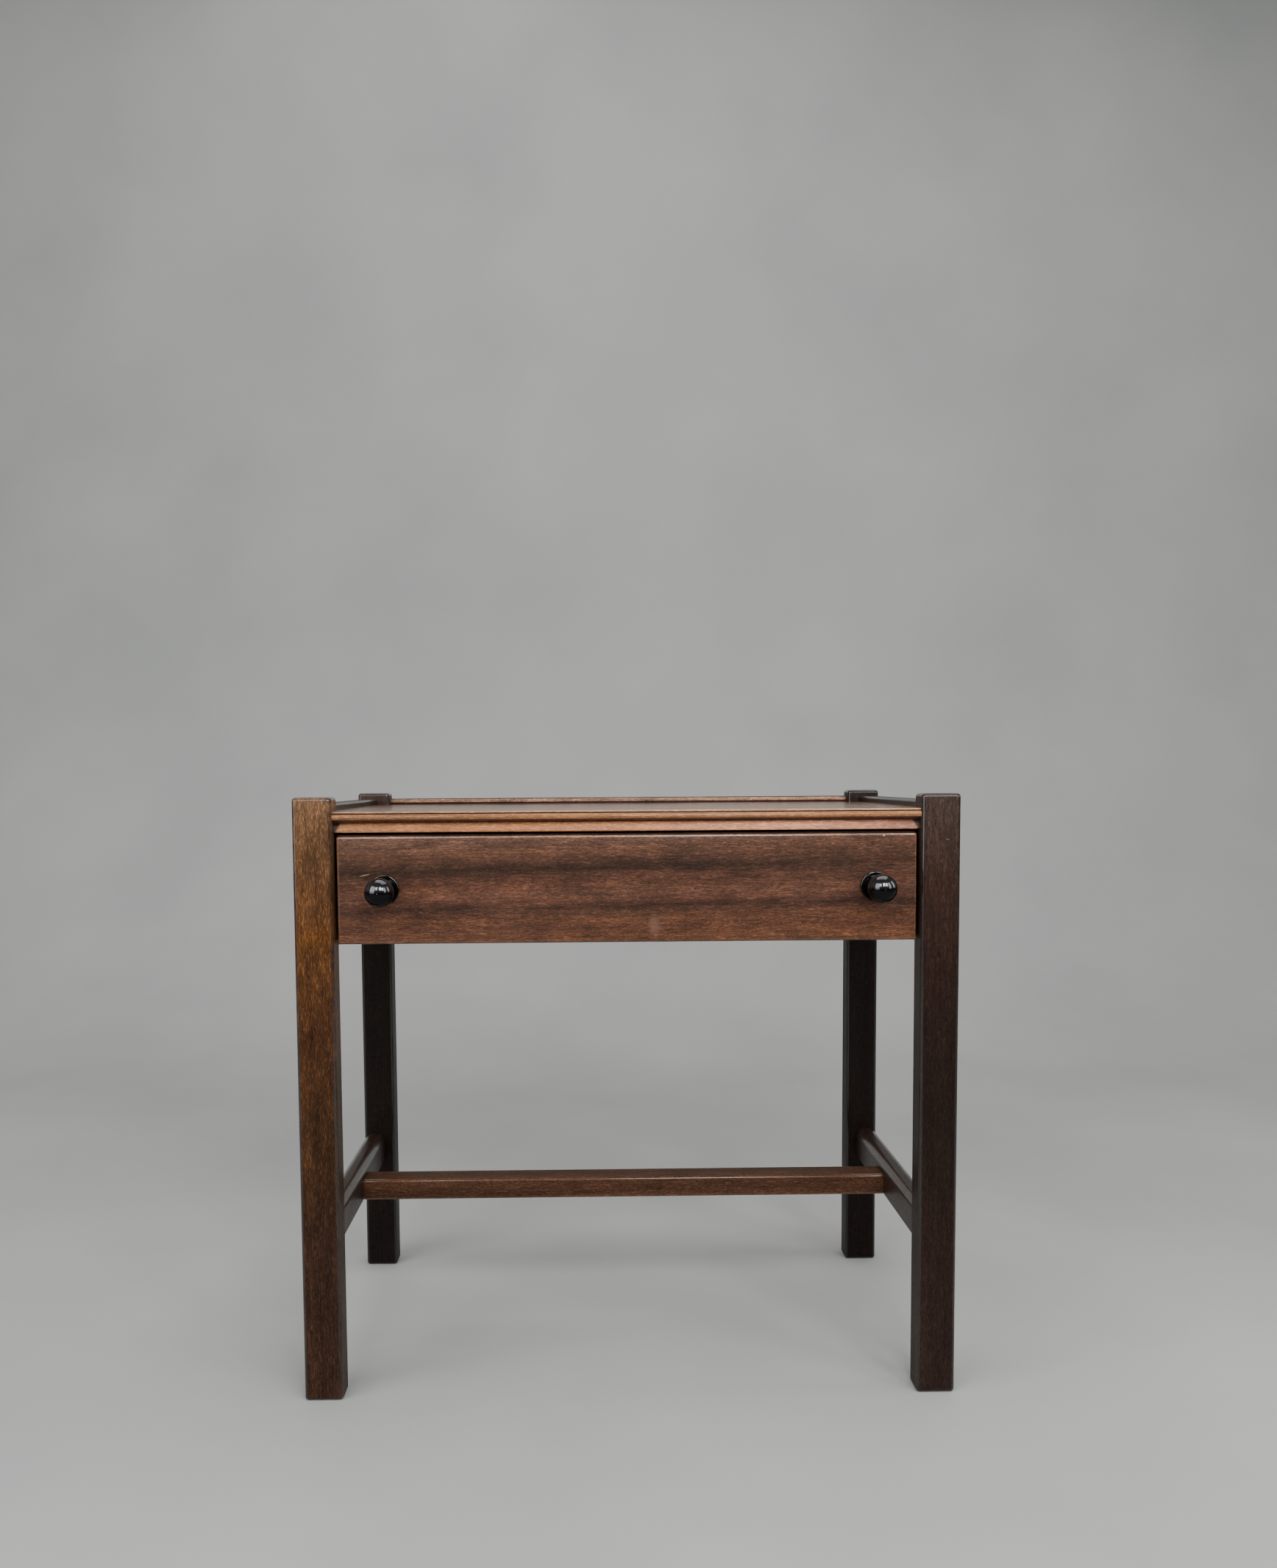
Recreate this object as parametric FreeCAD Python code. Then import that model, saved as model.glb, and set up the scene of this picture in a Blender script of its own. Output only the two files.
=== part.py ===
import FreeCAD, Part
import os

# Side table with one drawer, in millimetres. +Z is up, the front faces -Y, and the origin is on the
# floor at the middle of the table's whole box, which includes the knobs.
# The left half is modelled at negative X, and right-hand pieces are its mirror images. Only the knobs
# differ: they stand at slightly uneven distances from the middle.

# Driving sizes
WIDTH = 550.0
LEG_SPREAD = 330.0          # from the front faces of the front legs to the back faces of the back legs
HEIGHT = 508.0
LEG_WIDTH = 32.5
LEG_DEPTH = 24.5
LEG_ROUND = 3.4
LEG_END_ROUND = 3.0

PLANK = 20.0                # thickness of the side aprons and side stretchers
PLANK_INSET = 1.0           # how far they sit in from the legs' outer faces
PLANK_TOP_ROUND = 2.2
EASE = 1.0                  # rounding of the boards' other long edges
SMALL_EASE = 0.7
LIP_DROP = 6.3              # from the leg tops down to the side lips
BACK_LIP_DROP = 6.0
APRON_DROP = 120.0          # from the leg tops down to the aprons' lower edges
BACK_THICKNESS = 10.0
BACK_TOP_ROUND = 2.0

TOP_DROP = 12.0             # from the leg tops down to the table top's surface
TOP_THICKNESS = 9.5
TOP_FRONT_RECESS = 10.0
BEAD_HEIGHT = 5.5
BEAD_RECESS = 1.5
BEAD_ROOT_RECESS = 4.6
QUIRK = 0.8                 # the fine groove over the bead
NOSING_HEIGHT = 7.7
NOSING_LIP_RECESS = 4.0
NOSING_EASE = 0.6

RAIL_HEIGHT = 7.6
RAIL_DEPTH = 41.0
RAIL_TOP_RECESS = 9.0
RAIL_BOTTOM_RECESS = 5.5
RAIL_EASE = 0.8

TENON_THICKNESS = 8.0
TENON_LENGTH = 15.0
TENON_HEIGHT = 80.0
SHORT_TENON = 12.0
RAIL_TENON_WIDTH = 9.5
RAIL_TENON_SET_BACK = 3.0   # behind the top edge of the rail's face
BACK_TENON_SHOULDER = 1.5
RAIL_TENON_SHOULDER = 1.0
CROSS_TENON_DEPTH = 17.0
CROSS_TENON_SHOULDER = 5.0
JOINT_GAP = 0.15            # glue gap around tenons, tails and panels
HOLE_GAP = 0.1              # screw holes are this much larger than their screws all round

STRETCHER_BOTTOM = 112.5
STRETCHER_HEIGHT = 32.0
STRETCHER_TOP_ROUND = 8.0
STRETCHER_BOTTOM_ROUND = 3.0
CROSS_BOTTOM = 113.0
CROSS_HEIGHT = 20.5
CROSS_DEPTH = 29.0
CROSS_BEHIND_FRONT = 193.0  # from the legs' front faces to the middle of the cross stretcher
CROSS_ROUND = 3.5

RUNNER_WIDTH = 28.0
RUNNER_HEIGHT = 8.5
GUIDE_HEIGHT = 25.5
KICKER_WIDTH = 26.0
KICKER_HEIGHT = 9.5
STOP_WIDTH = 14.0
STOP_HEIGHT = 12.0
BLOCK_SIZE = 16.0
BLOCK_LENGTH = 50.0
BLOCK_PLACES = {"left": -150.0, "middle": 0.0, "right": 150.0}

SCREW_SHANK = 2.0           # radius, as are the next two
SCREW_HEAD = 4.0
SCREW_POINT = 0.3
SLOT_WIDTH = 1.0
SLOT_DEPTH = 1.0
GUIDE_SCREW_LENGTH = 25.0
RUNNER_SCREW_LENGTH = 22.0
KICKER_SCREW_LENGTH = 15.5
SCREWS_PER_STRIP = 3
GUIDE_SCREW_MARGINS = (40.0, 40.0)      # from the front and back legs to a strip's outer screws
RUNNER_SCREW_MARGINS = (65.0, 15.0)
KICKER_SCREW_MARGINS = (60.0, 30.0)
GUIDE_SCREW_LEVEL = 0.6     # share of the guide's height

DRAWER_RECESS = 6.0         # from the legs' front faces back to the drawer's front face
DRAWER_TOP_DROP = 31.0
DRAWER_FRONT_HEIGHT = 90.8
DRAWER_FRONT_THICKNESS = 16.0
DRAWER_SIDE_GAP = 2.3
DRAWER_LENGTH = 281.0
DRAWER_TOP_ROUND = 4.0
DRAWER_EDGE_ROUND = 2.5
BOX_SIDE_THICKNESS = 10.0
BOX_SIDE_HEIGHT = 77.7
BOX_BACK_DROP = 4.5
RUNNING_GAP = 0.3           # under the drawer and behind it
GUIDE_GAP = 0.8
PANEL_THICKNESS = 4.0
PANEL_RAISE = 8.0
PANEL_HOUSING = 5.0
BACK_HOUSING = 3.0
BACK_SET_IN = 4.0
TAIL_LENGTH = 10.0
TAIL_ROOT = 13.0
TAIL_TIP = 17.0
TAIL_COUNT = 3
SOCKET_OVERCUT = 10         # gaps by which a tail's socket runs out past the drawer front's end
PIN_PLACES = (-150.0, 0.0, 150.0)
PIN_RADIUS = 0.9
PIN_LENGTH = 14.0
PIN_HEAD_RADIUS = 2.0
PIN_HEAD_HEIGHT = 0.8

KNOB_PLACES = {"left": -200.7, "right": 205.0}
KNOB_DROP = 76.2
KNOB_BASE_RADIUS = 12.2
KNOB_BASE_HEIGHT = 5.0
KNOB_WAIST_RADIUS = 8.4
KNOB_BALL_RADIUS = 11.9
KNOB_BALL_CENTRE = 29.0
KNOB_REACH = KNOB_BALL_CENTRE + KNOB_BALL_RADIUS
KNOB_NECK_RADIUS = 9.0      # where the waist runs into the ball
KNOB_RIM = 0.7              # rounding of the foot's front edge
KNOB_SHOULDER_RADIUS = 9.4  # where the foot's flat front runs into the waist
KNOB_FOOT_BEVEL = 0.4
KNOB_SCREW_HEAD_RADIUS = 4.2
KNOB_SCREW_HEAD_HEIGHT = 2.4
KNOB_SCREW_HEAD_ROUND = 1.2
KNOB_SCREW_GRIP = 14.0      # how far the screw goes into the knob

# Places worked out from the sizes
BOX_DEPTH = LEG_SPREAD + KNOB_REACH - DRAWER_RECESS
BACK = BOX_DEPTH / 2
FRONT = BACK - LEG_SPREAD
LEG_OUT = -WIDTH / 2
LEG_IN = LEG_OUT + LEG_WIDTH
PLANK_OUT = LEG_OUT + PLANK_INSET
PLANK_IN = PLANK_OUT + PLANK
PLANK_MIDDLE = (PLANK_OUT + PLANK_IN) / 2
BAY_FRONT = FRONT + LEG_DEPTH
BAY_BACK = BACK - LEG_DEPTH
BACK_FACE = BACK - PLANK_INSET - BACK_THICKNESS
TOP_SURFACE = HEIGHT - TOP_DROP
TOP_UNDERSIDE = TOP_SURFACE - TOP_THICKNESS
APRON_BOTTOM = HEIGHT - APRON_DROP
RAIL_BOTTOM = TOP_UNDERSIDE - RAIL_HEIGHT
KICKER_BOTTOM = TOP_UNDERSIDE - KICKER_HEIGHT
RAIL_BACK = FRONT + RAIL_TOP_RECESS + RAIL_DEPTH
RUNNER_TOP = APRON_BOTTOM + RUNNER_HEIGHT
DRAWER_FACE = FRONT + DRAWER_RECESS
DRAWER_INNER_FACE = DRAWER_FACE + DRAWER_FRONT_THICKNESS
DRAWER_END = DRAWER_FACE + DRAWER_LENGTH
DRAWER_TOP = HEIGHT - DRAWER_TOP_DROP
DRAWER_OUT = LEG_IN + DRAWER_SIDE_GAP
BOX_INNER = DRAWER_OUT + BOX_SIDE_THICKNESS
BOX_BOTTOM = RUNNER_TOP + RUNNING_GAP
BOX_TOP = BOX_BOTTOM + BOX_SIDE_HEIGHT
PANEL_BOTTOM = BOX_BOTTOM + PANEL_RAISE
PANEL_TOP = PANEL_BOTTOM + PANEL_THICKNESS
BOX_BACK_REAR = DRAWER_END - BACK_SET_IN
GUIDE_IN = DRAWER_OUT - GUIDE_GAP
KNOB_HEIGHT = HEIGHT - KNOB_DROP
CROSS_MIDDLE = FRONT + CROSS_BEHIND_FRONT

TINY = 1e-6
X_AXIS = FreeCAD.Vector(1, 0, 0)
Y_AXIS = FreeCAD.Vector(0, 1, 0)
Z_AXIS = FreeCAD.Vector(0, 0, 1)


def block(x, y, z):
    """A box from its low and high values along each axis."""
    corner = FreeCAD.Vector(x[0], y[0], z[0])
    return Part.makeBox(x[1] - x[0], y[1] - y[0], z[1] - z[0], corner)


def grown(x, y, z, gap=JOINT_GAP):
    """The same box, larger by a gap on every side: the socket for it."""
    return block((x[0] - gap, x[1] + gap), (y[0] - gap, y[1] + gap), (z[0] - gap, z[1] + gap))


def mirrored(shape):
    """The right-hand twin of a left-hand piece."""
    return shape.mirror(FreeCAD.Vector(0, 0, 0), X_AXIS)


def both_sides(shape):
    return [shape, mirrored(shape)]


def edges_at(shape, axis, x=None, y=None, z=None):
    """The straight edges along an axis whose middle point has the given coordinates."""
    found = []
    for edge in shape.Edges:
        ends = [vertex.Point for vertex in edge.Vertexes]
        run = ends[-1] - ends[0]
        middle = (ends[0] + ends[-1]) * 0.5
        asked = ((x, middle.x), (y, middle.y), (z, middle.z))
        away = [abs(value - at) for value, at in asked if value is not None]
        along = run.Length > TINY and run.Length - abs(run.dot(axis)) < TINY
        if along and max(away, default=0) < TINY:
            found.append(edge)
    return found


def eased(shape, axis, radius, places):
    """The shape with the edges at each place rounded."""
    edges = []
    for place in places:
        edges += edges_at(shape, axis, **place)
    return shape.makeFillet(radius, edges)


def outline(points):
    """A closed wire through points that share a plane."""
    return Part.makePolygon([FreeCAD.Vector(*point) for point in points + points[:1]])


def prism(points, along):
    """A solid pushed out of a flat outline."""
    return Part.Face(outline(points)).extrude(along)


def turned(profile, axis_point, axis):
    """A solid of revolution from a closed profile wire."""
    return Part.Face(profile).revolve(axis_point, axis, 360)


def screw(head_at, towards, length, gap=0.0):
    """A countersunk screw: its flat head at a point, its tip along a direction. A gap makes it the hole."""
    points = [
        (0, 0, 0),
        (SCREW_HEAD + gap, 0, 0),
        (SCREW_SHANK + gap, 0, SCREW_HEAD - SCREW_SHANK),
        (SCREW_SHANK + gap, 0, length - 2 * SCREW_SHANK),
        (SCREW_POINT + gap, 0, length + gap),
        (0, 0, length + gap),
    ]
    made = turned(outline(points), FreeCAD.Vector(0, 0, 0), Z_AXIS)
    if gap == 0:
        slot = block(
            (-SCREW_HEAD, SCREW_HEAD), (-SLOT_WIDTH / 2, SLOT_WIDTH / 2), (-SLOT_DEPTH, SLOT_DEPTH)
        )
        made = made.cut(slot)
    made.Placement = FreeCAD.Placement(head_at, FreeCAD.Rotation(Z_AXIS, towards))
    return made


# Tenons: each entry is the x, y and z range of one left-hand tenon

def apron_tenon(low_y, high_y):
    middle_z = (APRON_BOTTOM + TOP_UNDERSIDE) / 2
    return (
        (PLANK_MIDDLE - TENON_THICKNESS / 2, PLANK_MIDDLE + TENON_THICKNESS / 2),
        (low_y, high_y),
        (middle_z - TENON_HEIGHT / 2, middle_z + TENON_HEIGHT / 2),
    )


def stretcher_tenon(low_y, high_y):
    middle_z = STRETCHER_BOTTOM + STRETCHER_HEIGHT / 2
    return (
        (PLANK_MIDDLE - TENON_THICKNESS / 2, PLANK_MIDDLE + TENON_THICKNESS / 2),
        (low_y, high_y),
        (middle_z - CROSS_HEIGHT / 2, middle_z + CROSS_HEIGHT / 2),
    )


def back_apron_tenon():
    return (
        (LEG_IN - SHORT_TENON, LEG_IN),
        (BACK_FACE + BACK_TENON_SHOULDER, BACK_FACE + BACK_THICKNESS - BACK_TENON_SHOULDER),
        apron_tenon(0, 1)[2],
    )


def rail_tenon():
    low_y = FRONT + RAIL_TOP_RECESS + RAIL_TENON_SET_BACK
    return (
        (LEG_IN - SHORT_TENON, LEG_IN),
        (low_y, low_y + RAIL_TENON_WIDTH),
        (RAIL_BOTTOM + RAIL_TENON_SHOULDER, TOP_UNDERSIDE - RAIL_TENON_SHOULDER),
    )


def cross_tenon():
    return (
        (PLANK_IN - PLANK / 2, PLANK_IN),
        (CROSS_MIDDLE - CROSS_TENON_DEPTH / 2, CROSS_MIDDLE + CROSS_TENON_DEPTH / 2),
        (CROSS_BOTTOM + CROSS_TENON_SHOULDER, CROSS_BOTTOM + CROSS_HEIGHT - CROSS_TENON_SHOULDER),
    )


FRONT_ENDS = (BAY_FRONT - TENON_LENGTH, BAY_FRONT)
BACK_ENDS = (BAY_BACK, BAY_BACK + TENON_LENGTH)


# The frame

def leg(low_y, sockets):
    """A straight leg with rounded long edges and eased ends."""
    made = block((LEG_OUT, LEG_IN), (low_y, low_y + LEG_DEPTH), (0, HEIGHT))
    made = eased(made, Z_AXIS, LEG_ROUND, [{}])
    ends = [edge for edge in made.Edges if edge.BoundBox.ZLength < TINY]
    made = made.makeFillet(LEG_END_ROUND, ends)
    for socket in sockets:
        made = made.cut(grown(*socket))
    return made


def front_leg():
    return leg(FRONT, [apron_tenon(*FRONT_ENDS), stretcher_tenon(*FRONT_ENDS), rail_tenon()])


def back_leg():
    return leg(BAY_BACK, [apron_tenon(*BACK_ENDS), stretcher_tenon(*BACK_ENDS), back_apron_tenon()])


def side_apron():
    """The side board. Its top edge stands above the table top as a lip."""
    made = block((PLANK_OUT, PLANK_IN), (BAY_FRONT, BAY_BACK), (APRON_BOTTOM, HEIGHT - LIP_DROP))
    made = eased(made, Y_AXIS, PLANK_TOP_ROUND, [{"z": HEIGHT - LIP_DROP}])
    made = eased(made, Y_AXIS, EASE, [{"x": PLANK_OUT, "z": APRON_BOTTOM}])
    for ends in (FRONT_ENDS, BACK_ENDS):
        made = made.fuse(block(*apron_tenon(*ends)))
    made = made.removeSplitter()
    for hole in guide_screw_shapes(HOLE_GAP):
        made = made.cut(hole)
    return made


def back_apron():
    """The back board, thinner, with its top edge as the back lip."""
    top = HEIGHT - BACK_LIP_DROP
    made = block((LEG_IN, -LEG_IN), (BACK_FACE, BACK_FACE + BACK_THICKNESS), (APRON_BOTTOM, top))
    made = eased(made, X_AXIS, BACK_TOP_ROUND, [{"z": top}])
    made = eased(made, X_AXIS, EASE, [{"z": APRON_BOTTOM}])
    for tenon in both_sides(block(*back_apron_tenon())):
        made = made.fuse(tenon)
    return made.removeSplitter()


def table_top():
    """The sunk board, notched round the four legs, with screw holes from below."""
    front = FRONT + TOP_FRONT_RECESS
    quarter = [
        (LEG_IN, front, TOP_UNDERSIDE),
        (LEG_IN, BAY_FRONT, TOP_UNDERSIDE),
        (PLANK_IN, BAY_FRONT, TOP_UNDERSIDE),
        (PLANK_IN, BAY_BACK, TOP_UNDERSIDE),
        (LEG_IN, BAY_BACK, TOP_UNDERSIDE),
        (LEG_IN, BACK_FACE, TOP_UNDERSIDE),
    ]
    other = [(-x, y, z) for x, y, z in reversed(quarter)]
    made = prism(quarter + other, Z_AXIS * TOP_THICKNESS)
    for hole in kicker_screw_shapes(HOLE_GAP):
        made = made.cut(hole).cut(mirrored(hole))
    return made


def front_nosing():
    """The moulding on the top's front edge: a narrow lip, a quirk and a half-round bead below it."""
    back = FRONT + TOP_FRONT_RECESS
    root = FRONT + BEAD_ROOT_RECESS
    lip = FRONT + NOSING_LIP_RECESS
    bottom = TOP_SURFACE - NOSING_HEIGHT
    bead_top = bottom + BEAD_HEIGHT

    def at(y, z):
        return FreeCAD.Vector(LEG_IN, y, z)

    bead = Part.Arc(
        at(root, bottom), at(FRONT + BEAD_RECESS, (bottom + bead_top) / 2), at(root, bead_top)
    ).toShape()
    points = [
        at(root, bead_top),
        at(root + QUIRK, bead_top + QUIRK / 2),
        at(lip, bead_top + QUIRK),
        at(lip, TOP_SURFACE - NOSING_EASE),
        at(lip + NOSING_EASE, TOP_SURFACE),
        at(back, TOP_SURFACE),
        at(back, bottom),
        at(root, bottom),
    ]
    wire = Part.Wire([bead] + Part.makePolygon(points).Edges)
    return Part.Face(wire).extrude(X_AXIS * (-2 * LEG_IN))


def front_top_rail():
    """The rail under the top's front edge. Its face leans out towards the bottom."""
    lean = (RAIL_TOP_RECESS - RAIL_BOTTOM_RECESS) / RAIL_HEIGHT
    points = [
        (LEG_IN, FRONT + RAIL_TOP_RECESS, TOP_UNDERSIDE),
        (LEG_IN, FRONT + RAIL_BOTTOM_RECESS + RAIL_EASE * lean, RAIL_BOTTOM + RAIL_EASE),
        (LEG_IN, FRONT + RAIL_BOTTOM_RECESS + RAIL_EASE, RAIL_BOTTOM),
        (LEG_IN, RAIL_BACK, RAIL_BOTTOM),
        (LEG_IN, RAIL_BACK, TOP_UNDERSIDE),
    ]
    made = prism(points, X_AXIS * (-2 * LEG_IN))
    for tenon in both_sides(block(*rail_tenon())):
        made = made.fuse(tenon)
    return made.removeSplitter()


def side_stretcher():
    """The low bar between a front and a back leg, well rounded on top."""
    top = STRETCHER_BOTTOM + STRETCHER_HEIGHT
    made = block((PLANK_OUT, PLANK_IN), (BAY_FRONT, BAY_BACK), (STRETCHER_BOTTOM, top))
    made = eased(made, Y_AXIS, STRETCHER_TOP_ROUND, [{"z": top}])
    made = eased(made, Y_AXIS, STRETCHER_BOTTOM_ROUND, [{"z": STRETCHER_BOTTOM}])
    for ends in (FRONT_ENDS, BACK_ENDS):
        made = made.fuse(block(*stretcher_tenon(*ends)))
    return made.removeSplitter().cut(grown(*cross_tenon()))


def cross_stretcher():
    """The bar laid flat between the two side stretchers."""
    made = block(
        (PLANK_IN, -PLANK_IN),
        (CROSS_MIDDLE - CROSS_DEPTH / 2, CROSS_MIDDLE + CROSS_DEPTH / 2),
        (CROSS_BOTTOM, CROSS_BOTTOM + CROSS_HEIGHT),
    )
    made = eased(made, X_AXIS, CROSS_ROUND, [{}])
    for tenon in both_sides(block(*cross_tenon())):
        made = made.fuse(tenon)
    return made.removeSplitter()


def drawer_runner():
    inner = PLANK_IN + RUNNER_WIDTH
    made = block((PLANK_IN, inner), (BAY_FRONT, BAY_BACK), (APRON_BOTTOM, RUNNER_TOP))
    made = eased(made, Y_AXIS, SMALL_EASE, [{"x": inner}])
    for hole in runner_screw_shapes(HOLE_GAP):
        made = made.cut(hole)
    return made


def drawer_guide():
    """The strip on the runner that keeps the drawer straight."""
    top = RUNNER_TOP + GUIDE_HEIGHT
    made = block((PLANK_IN, GUIDE_IN), (BAY_FRONT, BAY_BACK), (RUNNER_TOP, top))
    made = eased(made, Y_AXIS, SMALL_EASE, [{"x": GUIDE_IN, "z": top}])
    for hole in guide_screw_shapes(HOLE_GAP) + runner_screw_shapes(HOLE_GAP):
        made = made.cut(hole)
    return made


def kicker():
    """The strip over the drawer side. It holds the top and stops the open drawer from tipping."""
    inner = PLANK_IN + KICKER_WIDTH
    made = block((PLANK_IN, inner), (RAIL_BACK, BAY_BACK), (KICKER_BOTTOM, TOP_UNDERSIDE))
    made = eased(made, Y_AXIS, SMALL_EASE, [{"x": inner, "z": KICKER_BOTTOM}])
    for hole in kicker_screw_shapes(HOLE_GAP):
        made = made.cut(hole)
    return made


def drawer_stop():
    low_x = PLANK_IN + RUNNER_WIDTH - STOP_WIDTH
    return block(
        (low_x, low_x + STOP_WIDTH),
        (DRAWER_END + RUNNING_GAP, BAY_BACK),
        (RUNNER_TOP, RUNNER_TOP + STOP_HEIGHT),
    )


def glue_block(middle_x):
    """A three-sided block in the corner under the top at the back board."""
    low_x = middle_x - BLOCK_LENGTH / 2
    points = [
        (low_x, BACK_FACE, TOP_UNDERSIDE),
        (low_x, BACK_FACE - BLOCK_SIZE, TOP_UNDERSIDE),
        (low_x, BACK_FACE, TOP_UNDERSIDE - BLOCK_SIZE),
    ]
    return prism(points, X_AXIS * BLOCK_LENGTH)


def along_bay(front_margin, back_margin):
    """The places of a strip's screws, evenly spaced between the front and back legs."""
    first = BAY_FRONT + front_margin
    step = (BAY_BACK - back_margin - first) / (SCREWS_PER_STRIP - 1)
    return [first + number * step for number in range(SCREWS_PER_STRIP)]


def guide_screw_shapes(gap=0.0):
    height = RUNNER_TOP + GUIDE_SCREW_LEVEL * GUIDE_HEIGHT
    return [
        screw(FreeCAD.Vector(GUIDE_IN, y, height), X_AXIS * -1, GUIDE_SCREW_LENGTH, gap)
        for y in along_bay(*GUIDE_SCREW_MARGINS)
    ]


def runner_screw_shapes(gap=0.0):
    middle_x = (PLANK_IN + GUIDE_IN) / 2
    return [
        screw(FreeCAD.Vector(middle_x, y, APRON_BOTTOM), Z_AXIS, RUNNER_SCREW_LENGTH, gap)
        for y in along_bay(*RUNNER_SCREW_MARGINS)
    ]


def kicker_screw_shapes(gap=0.0):
    middle_x = PLANK_IN + KICKER_WIDTH / 2
    return [
        screw(FreeCAD.Vector(middle_x, y, KICKER_BOTTOM), Z_AXIS, KICKER_SCREW_LENGTH, gap)
        for y in along_bay(*KICKER_SCREW_MARGINS)
    ]


# The drawer

def drawer_panel_box():
    return (
        (BOX_INNER - PANEL_HOUSING, -BOX_INNER + PANEL_HOUSING),
        (DRAWER_INNER_FACE - PANEL_HOUSING, BOX_BACK_REAR),
        (PANEL_BOTTOM, PANEL_TOP),
    )


def tail(number, gap=0.0):
    """One dovetail on the front end of the left drawer side. With a gap it is the socket."""
    middle_z = BOX_BOTTOM + BOX_SIDE_HEIGHT * (number + 0.5) / TAIL_COUNT
    root = TAIL_ROOT / 2 + gap
    tip = TAIL_TIP / 2 + gap
    front_y = DRAWER_INNER_FACE - TAIL_LENGTH - gap
    low_x = DRAWER_OUT - SOCKET_OVERCUT * gap
    points = [
        (low_x, DRAWER_INNER_FACE, middle_z - root),
        (low_x, DRAWER_INNER_FACE, middle_z + root),
        (low_x, front_y, middle_z + tip),
        (low_x, front_y, middle_z - tip),
    ]
    return prism(points, X_AXIS * (BOX_INNER + gap - low_x))


def knob_screw(middle_x, gap=0.0):
    """The round-headed screw that comes through the drawer front into a knob."""
    at = FreeCAD.Vector(middle_x, DRAWER_INNER_FACE, KNOB_HEIGHT)
    reach = DRAWER_FRONT_THICKNESS + KNOB_SCREW_GRIP + gap
    made = Part.makeCylinder(SCREW_SHANK + gap, reach, at, Y_AXIS * -1)
    if gap == 0:
        head = Part.makeCylinder(KNOB_SCREW_HEAD_RADIUS, KNOB_SCREW_HEAD_HEIGHT, at, Y_AXIS)
        rim = [edge for edge in head.Edges if edge.Closed and edge.BoundBox.YMin > at.y + TINY]
        made = made.fuse(head.makeFillet(KNOB_SCREW_HEAD_ROUND, rim))
        slot_middle = at.y + KNOB_SCREW_HEAD_HEIGHT
        slot = block(
            (at.x - KNOB_SCREW_HEAD_RADIUS, at.x + KNOB_SCREW_HEAD_RADIUS),
            (slot_middle - SLOT_DEPTH, slot_middle + SLOT_DEPTH),
            (at.z - SLOT_WIDTH / 2, at.z + SLOT_WIDTH / 2),
        )
        made = made.removeSplitter().cut(slot)
    return made


def drawer_front():
    """The drawer's face board, rounded in front, with sockets for the sides' dovetails."""
    bottom = DRAWER_TOP - DRAWER_FRONT_HEIGHT
    made = block(
        (DRAWER_OUT, -DRAWER_OUT), (DRAWER_FACE, DRAWER_INNER_FACE), (bottom, DRAWER_TOP)
    )
    made = eased(made, X_AXIS, DRAWER_TOP_ROUND, [{"y": DRAWER_FACE, "z": DRAWER_TOP}])
    bottom_and_ends = edges_at(made, X_AXIS, y=DRAWER_FACE, z=bottom)
    bottom_and_ends += edges_at(made, Z_AXIS, y=DRAWER_FACE)
    made = made.makeFillet(DRAWER_EDGE_ROUND, bottom_and_ends)
    inside = [{"y": DRAWER_INNER_FACE, "z": DRAWER_TOP}, {"y": DRAWER_INNER_FACE, "z": bottom}]
    made = eased(made, X_AXIS, EASE, inside)
    for number in range(TAIL_COUNT):
        for socket in both_sides(tail(number, JOINT_GAP)):
            made = made.cut(socket)
    made = made.cut(grown(*drawer_panel_box()))
    for middle_x in KNOB_PLACES.values():
        made = made.cut(knob_screw(middle_x, HOLE_GAP))
    return made


def drawer_side():
    """A drawer side: dovetails in front, a groove for the bottom and a housing for the back."""
    made = block((DRAWER_OUT, BOX_INNER), (DRAWER_INNER_FACE, DRAWER_END), (BOX_BOTTOM, BOX_TOP))
    made = eased(made, Y_AXIS, EASE, [{"z": BOX_TOP}])
    made = eased(made, Y_AXIS, SMALL_EASE, [{"z": BOX_BOTTOM}])
    for number in range(TAIL_COUNT):
        made = made.fuse(tail(number))
    made = made.removeSplitter().cut(grown(*drawer_panel_box()))
    x, y, z = drawer_back_box()
    return made.cut(grown(x, y, (z[0], BOX_TOP + BOX_SIDE_THICKNESS)))


def drawer_back_box():
    return (
        (BOX_INNER - BACK_HOUSING, -BOX_INNER + BACK_HOUSING),
        (BOX_BACK_REAR - BOX_SIDE_THICKNESS, BOX_BACK_REAR),
        (PANEL_TOP, BOX_TOP - BOX_BACK_DROP),
    )


def pin_shapes(gap=0.0):
    """Flat-headed pins that hold the bottom up to the drawer back."""
    made = []
    for x in PIN_PLACES:
        at = FreeCAD.Vector(x, BOX_BACK_REAR - BOX_SIDE_THICKNESS / 2, PANEL_BOTTOM)
        pin = Part.makeCylinder(PIN_RADIUS + gap, PIN_LENGTH + gap, at, Z_AXIS)
        if gap == 0:
            head = Part.makeCylinder(PIN_HEAD_RADIUS, PIN_HEAD_HEIGHT, at, Z_AXIS * -1)
            pin = pin.fuse(head).removeSplitter()
        made.append(pin)
    return made


def drawer_back():
    x, y, z = drawer_back_box()
    made = block(x, y, z)
    made = eased(made, X_AXIS, EASE, [{"z": z[1]}])
    for hole in pin_shapes(HOLE_GAP):
        made = made.cut(hole)
    return made


def drawer_bottom():
    made = block(*drawer_panel_box())
    for hole in pin_shapes(HOLE_GAP):
        made = made.cut(hole)
    return made


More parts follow.
